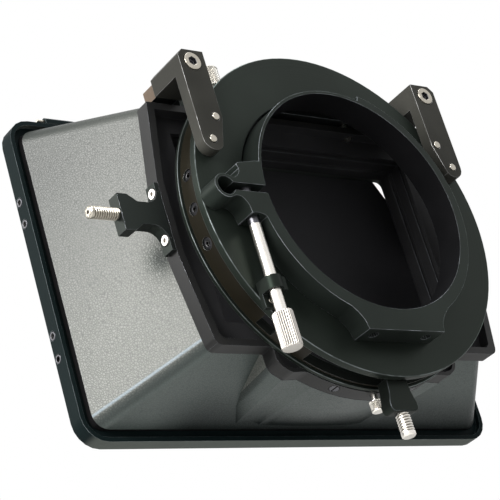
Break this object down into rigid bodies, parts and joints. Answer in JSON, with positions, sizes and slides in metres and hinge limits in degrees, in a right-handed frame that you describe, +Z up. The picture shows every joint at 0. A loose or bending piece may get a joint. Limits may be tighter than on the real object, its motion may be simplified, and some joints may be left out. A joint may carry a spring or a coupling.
{
  "type": "matte box",
  "caption": "Clamp-on matte box: split clamp ring, rotating filter stage with sliding trays, flared hood, folding top flag and accessory studs.",
  "frame": {"origin": "centre of the lens clamp's rear face, on the optical axis", "axes": "+Z up in use; +Y back along the optical axis towards the camera, so the hood opens towards -Y; +X the operator's left"},
  "size_m": [0.2546, 0.0942, 0.1979],
  "materials": {
    "black_anodised": "satin black anodised aluminium with very fine turned or bead-blasted grain",
    "brown_anodised": "thin black anodising that has faded to brown on the turned drum wall",
    "bare_steel": "nickel-grey steel, turned and knurled, slightly worn",
    "plain_bar": "plain milled aluminium with a thin dull finish",
    "grained_shell": "matte grey with a fine pebbled leather-like grain outside",
    "rim_paint": "matte black paint worn to grey along the edges"
  },
  "bodies": {
    "rear_unit": {"clamp_ring": "black_anodised", "screw_guide": "bare_steel", "guide_screw": "bare_steel", "rear_disc": "black_anodised", "stage_drum": "brown_anodised", "drum_set_screw_upper": "bare_steel", "drum_set_screw_middle": "bare_steel", "drum_set_screw_lower": "bare_steel", "front_flange": "black_anodised", "lower_lug": "black_anodised", "lower_stud": "bare_steel"},
    "clamp_screw_set": {"clamp_screw": "bare_steel", "clamp_knob": "bare_steel"},
    "housing": {"housing_frame": "black_anodised", "lip_screw_left": "bare_steel", "lip_screw_right": "bare_steel", "top_bar": "plain_bar", "arm_left": "black_anodised", "arm_right": "black_anodised", "arm_screw_left": "bare_steel", "arm_screw_right": "bare_steel", "arm_pin_left_upper": "bare_steel", "arm_pin_left_lower": "bare_steel", "arm_pin_right_upper": "bare_steel", "arm_pin_right_lower": "bare_steel", "side_bracket": "black_anodised", "bracket_screw_upper": "bare_steel", "bracket_screw_lower": "bare_steel", "side_stud": "bare_steel", "tray_guide_left": "black_anodised", "tray_guide_right": "black_anodised", "hood_shell": "grained_shell", "front_rim": "rim_paint", "rim_insert_left_top": "bare_steel", "rim_insert_left_upper": "bare_steel", "rim_insert_left_lower": "bare_steel", "rim_insert_left_bottom": "bare_steel", "rim_insert_right_top": "bare_steel", "rim_insert_right_upper": "bare_steel", "rim_insert_right_lower": "bare_steel", "rim_insert_right_bottom": "bare_steel", "flag_hinge_block_left": "black_anodised", "flag_hinge_block_right": "black_anodised", "flag_pin": "bare_steel"},
    "lock_screw_body": {"lock_screw": "bare_steel"},
    "bar_thumb_screw_left_body": {"bar_thumb_screw_left": "bare_steel"},
    "bar_thumb_screw_right_body": {"bar_thumb_screw_right": "bare_steel"},
    "tray_rear_body": {"filter_tray_rear": "black_anodised"},
    "tray_front_body": {"filter_tray_front": "black_anodised"},
    "flag_body": {"top_flag": "black_anodised"}
  },
  "joints": [
    {"name": "housing_turn", "type": "hinge", "parent": "rear_unit", "child": "housing", "pos_m": [0, -0.0283, 0], "axis": [0, 1, 0], "range_deg": [-118, 10]},
    {"name": "clamp_screw_turn", "type": "hinge", "parent": "rear_unit", "child": "clamp_screw_set", "pos_m": [0.0655, -0.0051, -0.0667], "axis": [0, 0, 1], "range_deg": [-720, 720]},
    {"name": "lock_screw_turn", "type": "hinge", "parent": "housing", "child": "lock_screw_body", "pos_m": [0.0016, -0.0308, -0.0918], "axis": [0, 0, 1], "range_deg": [-720, 720]},
    {"name": "bar_thumb_screw_left_turn", "type": "hinge", "parent": "housing", "child": "bar_thumb_screw_left_body", "pos_m": [0.039, -0.03335, 0.0817], "axis": [0, 0, 1], "range_deg": [-720, 720]},
    {"name": "bar_thumb_screw_right_turn", "type": "hinge", "parent": "housing", "child": "bar_thumb_screw_right_body", "pos_m": [-0.039, -0.03335, 0.0817], "axis": [0, 0, 1], "range_deg": [-720, 720]},
    {"name": "tray_rear_slide", "type": "slide", "parent": "housing", "child": "tray_rear_body", "axis": [0, 0, 1], "range_m": [0, 0.11]},
    {"name": "tray_front_slide", "type": "slide", "parent": "housing", "child": "tray_front_body", "axis": [0, 0, 1], "range_m": [0, 0.11]},
    {"name": "flag_hinge", "type": "hinge", "parent": "housing", "child": "flag_body", "pos_m": [0, -0.0862, 0.0842], "axis": [-1, 0, 0], "range_deg": [0, 150]}
  ]
}
